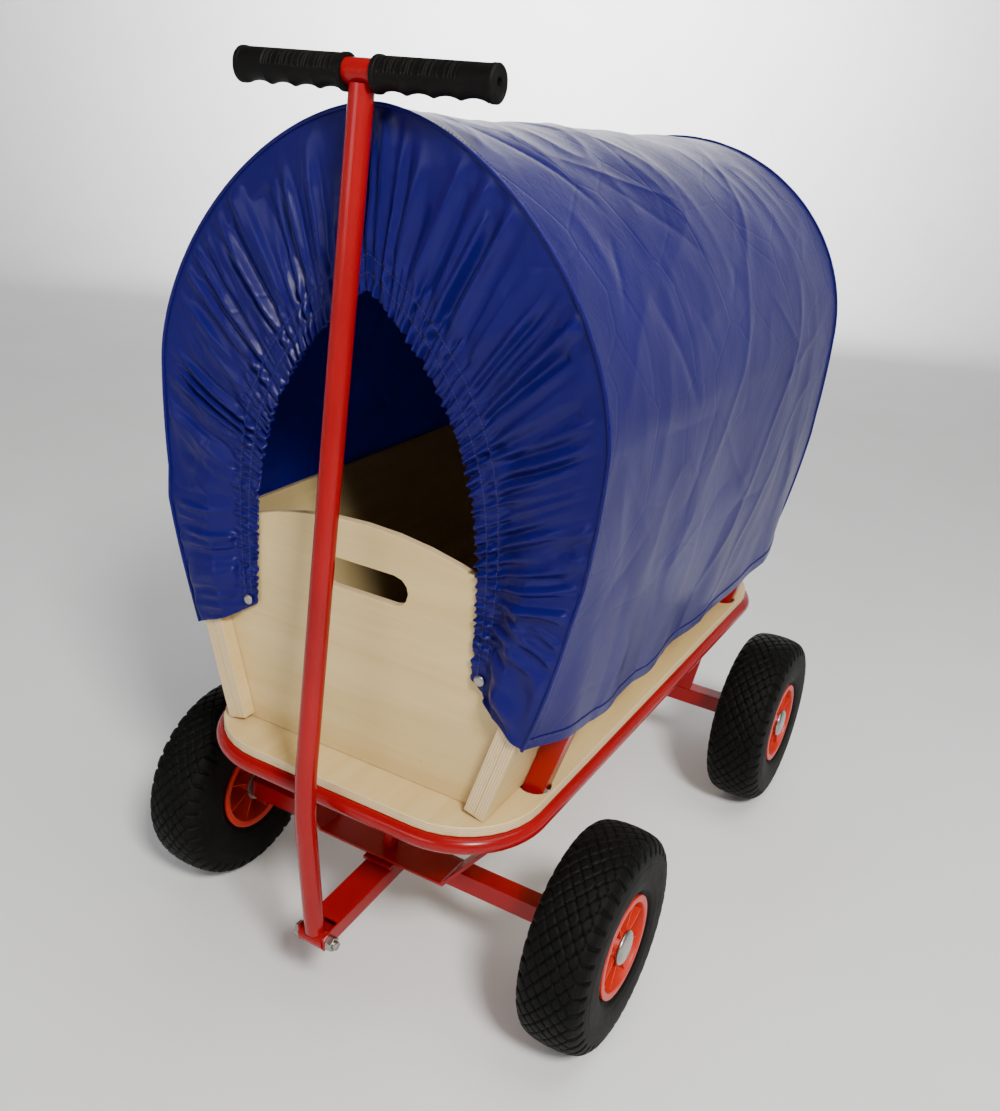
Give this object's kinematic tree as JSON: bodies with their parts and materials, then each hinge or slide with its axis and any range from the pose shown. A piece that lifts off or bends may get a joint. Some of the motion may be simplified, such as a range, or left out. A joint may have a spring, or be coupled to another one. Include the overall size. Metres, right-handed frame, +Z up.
{
  "type": "pull wagon",
  "caption": "Child's pull wagon: plywood box on a steel ring frame, steering front axle with tilting T-handle, air-filled wheels and an arched fabric canopy.",
  "frame": {"origin": "on the ground under the middle of the wagon's overall box, with the handle upright", "axes": "+Z up, -Y towards the handle end, X across the wagon"},
  "size_m": [0.621, 0.9232, 1.028],
  "materials": {
    "red_paint": "gloss red powder coat on steel tube and bar",
    "plywood": "satin clear-lacquered birch plywood",
    "zinc_steel": "bright zinc plate",
    "canopy_cloth": "coated ultramarine nylon with a soft sheen",
    "hoop_rod": "plain fibre rod",
    "rim_plastic": "moulded orange-red plastic",
    "tyre_rubber": "black moulded rubber",
    "grip_rubber": "black moulded rubber",
    "nylon": "plain moulded nylon"
  },
  "bodies": {
    "chassis": {"frame_ring": "red_paint", "cross_bar_front": "red_paint", "cross_bar_rear": "red_paint", "front_carrier": "red_paint", "kingpin": "red_paint", "kingpin_nut": "zinc_steel", "rear_bracket": "red_paint", "rear_axle_beam": "red_paint", "rear_axle_rod": "zinc_steel", "deck_board": "plywood", "side_panel_left": "plywood", "side_panel_right": "plywood", "front_panel": "plywood", "rear_panel": "plywood", "hoop_front": "hoop_rod", "hoop_rear": "hoop_rod", "canopy_cover": "canopy_cloth", "snap_left": "zinc_steel", "snap_right": "zinc_steel", "stake_post_front_left": "red_paint", "stake_post_front_right": "red_paint", "stake_post_rear_left": "red_paint", "stake_post_rear_right": "red_paint", "end_batten_front_left": "plywood", "end_batten_front_right": "plywood", "end_batten_rear_left": "plywood", "end_batten_rear_right": "plywood", "washer_rear_left": "zinc_steel", "washer_rear_right": "zinc_steel", "hub_cap_rear_left": "zinc_steel", "hub_cap_rear_right": "zinc_steel"},
    "steering": {"front_axle_beam": "red_paint", "front_axle_rod": "zinc_steel", "tongue_tube": "red_paint", "pivot_plate": "red_paint", "thrust_washer": "zinc_steel", "pivot_bolt": "zinc_steel", "pivot_nut": "zinc_steel", "washer_front_left": "zinc_steel", "washer_front_right": "zinc_steel", "hub_cap_front_left": "zinc_steel", "hub_cap_front_right": "zinc_steel"},
    "handle": {"handle_tube": "red_paint", "pivot_sleeve": "red_paint", "handle_cross_tube": "red_paint", "grip_left": "grip_rubber", "grip_right": "grip_rubber"},
    "wheel_front_left": {"tyre_front_left": "tyre_rubber", "rim_front_left": "rim_plastic", "bush_front_left": "nylon"},
    "wheel_front_right": {"tyre_front_right": "tyre_rubber", "rim_front_right": "rim_plastic", "bush_front_right": "nylon"},
    "wheel_rear_left": {"tyre_rear_left": "tyre_rubber", "rim_rear_left": "rim_plastic", "bush_rear_left": "nylon"},
    "wheel_rear_right": {"tyre_rear_right": "tyre_rubber", "rim_rear_right": "rim_plastic", "bush_rear_right": "nylon"}
  },
  "joints": [
    {"name": "steering", "type": "hinge", "parent": "chassis", "child": "steering", "pos_m": [0, -0.2864, 0.13], "axis": [0, 0, 1], "range_deg": [-25, 25]},
    {"name": "handle_tilt", "type": "hinge", "parent": "steering", "child": "handle", "pos_m": [0, -0.4309, 0.1145], "axis": [1, 0, 0], "range_deg": [0, 98]},
    {"name": "wheel_front_left_spin", "type": "hinge", "parent": "steering", "child": "wheel_front_left", "pos_m": [-0.269, -0.2634, 0.13], "axis": [1, 0, 0], "continuous": true},
    {"name": "wheel_front_right_spin", "type": "hinge", "parent": "steering", "child": "wheel_front_right", "pos_m": [0.269, -0.2634, 0.13], "axis": [1, 0, 0], "continuous": true},
    {"name": "wheel_rear_left_spin", "type": "hinge", "parent": "chassis", "child": "wheel_rear_left", "pos_m": [-0.269, 0.3301, 0.13], "axis": [1, 0, 0], "continuous": true},
    {"name": "wheel_rear_right_spin", "type": "hinge", "parent": "chassis", "child": "wheel_rear_right", "pos_m": [0.269, 0.3301, 0.13], "axis": [1, 0, 0], "continuous": true}
  ]
}
